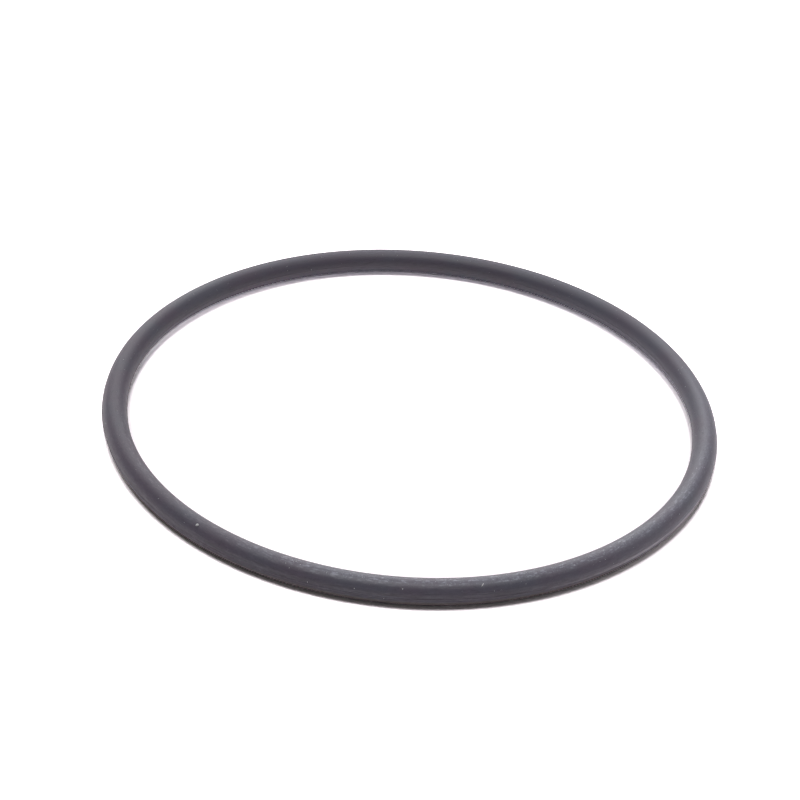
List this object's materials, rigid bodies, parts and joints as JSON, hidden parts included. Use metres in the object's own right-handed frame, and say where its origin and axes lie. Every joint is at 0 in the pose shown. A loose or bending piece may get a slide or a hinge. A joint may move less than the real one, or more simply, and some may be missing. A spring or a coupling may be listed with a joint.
{
  "type": "rubber o-ring",
  "caption": "Round-section rubber sealing ring with a fine moulded parting ridge along its outer and inner equators.",
  "frame": {"origin": "centre of the ring, in the plane of the mould parting line, half a section above the surface it lies on", "axes": "+Z along the ring's axis, upwards as it lies; X and Y are any two directions across the ring"},
  "size_m": [0.0894, 0.0894, 0.0036],
  "materials": {
    "rubber": "matte charcoal rubber with a dull moulded skin"
  },
  "bodies": {
    "root": {"o_ring": "rubber"}
  },
  "joints": []
}
